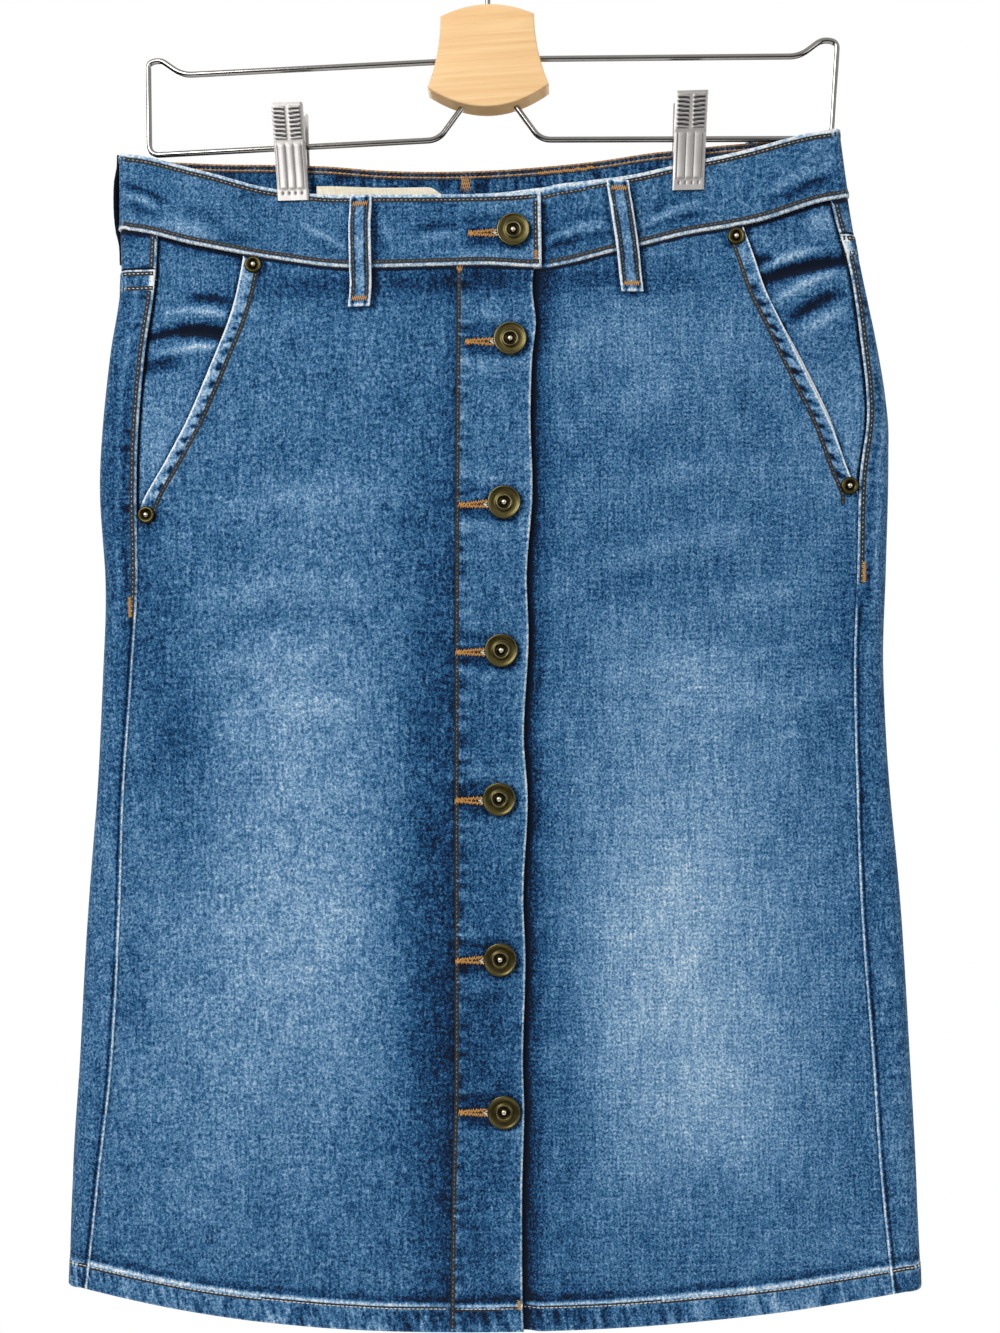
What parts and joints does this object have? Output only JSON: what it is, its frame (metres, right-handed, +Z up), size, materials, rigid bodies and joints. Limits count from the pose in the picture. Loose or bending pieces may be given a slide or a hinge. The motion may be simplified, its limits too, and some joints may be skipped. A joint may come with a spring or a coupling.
{
  "type": "denim skirt on a clip hanger",
  "caption": "Knee-length button-front denim skirt with slant pockets and belt loops, clipped to a wire skirt hanger with a wooden centre.",
  "frame": {"origin": "inside top of the hanger's hook, where a rail carries it", "axes": "+X to the right as seen from the front, +Y to the back, +Z up; the buttoned front faces -Y"},
  "size_m": [0.4682, 0.0411, 0.7865],
  "materials": {
    "denim_front": "mid-blue washed denim, faded ovals on the thighs, twill weave",
    "denim_back": "mid-blue washed denim, faded seat, twill weave",
    "denim_trim": "mid-blue washed denim with worn pale edges",
    "cotton_lining": "white cotton",
    "cotton_label": "blank cream woven label",
    "antique_brass": "dark antique brass, rubbed bright on its rims",
    "chromed_wire": "polished",
    "beech": "satin varnish over fine grain",
    "chromed_clip": "polished pressed steel"
  },
  "bodies": {
    "root": {"front_panel_left": "denim_front", "front_panel_right": "denim_front", "back_panel_left": "denim_back", "back_panel_right": "denim_back", "back_yoke_left": "denim_back", "back_yoke_right": "denim_back", "hem_back_left": "denim_back", "hem_back_right": "denim_back", "button_placket": "denim_trim", "pocket_facing_left": "denim_trim", "pocket_facing_right": "denim_trim", "waistband_left": "denim_trim", "waistband_right": "denim_trim", "waistband_back": "denim_trim", "hem_front_left": "denim_trim", "hem_front_right": "denim_trim", "belt_loop_front_left": "denim_trim", "belt_loop_front_right": "denim_trim", "belt_loop_side_left": "denim_trim", "belt_loop_side_right": "denim_trim", "belt_loop_back": "denim_trim", "pocket_lining_right": "cotton_lining", "waistband_label": "cotton_label", "button_1": "antique_brass", "button_2": "antique_brass", "button_3": "antique_brass", "button_4": "antique_brass", "button_5": "antique_brass", "button_6": "antique_brass", "button_7": "antique_brass", "rivet_left_top": "antique_brass", "rivet_left_bottom": "antique_brass", "rivet_right_top": "antique_brass", "rivet_right_bottom": "antique_brass", "hanger_hook": "chromed_wire", "hanger_wire_left": "chromed_wire", "hanger_wire_right": "chromed_wire", "hanger_block": "beech", "clip_left_front_jaw": "chromed_clip", "clip_left_back_jaw": "chromed_clip", "clip_left_spring": "chromed_clip", "clip_right_front_jaw": "chromed_clip", "clip_right_back_jaw": "chromed_clip", "clip_right_spring": "chromed_clip"}
  },
  "joints": []
}
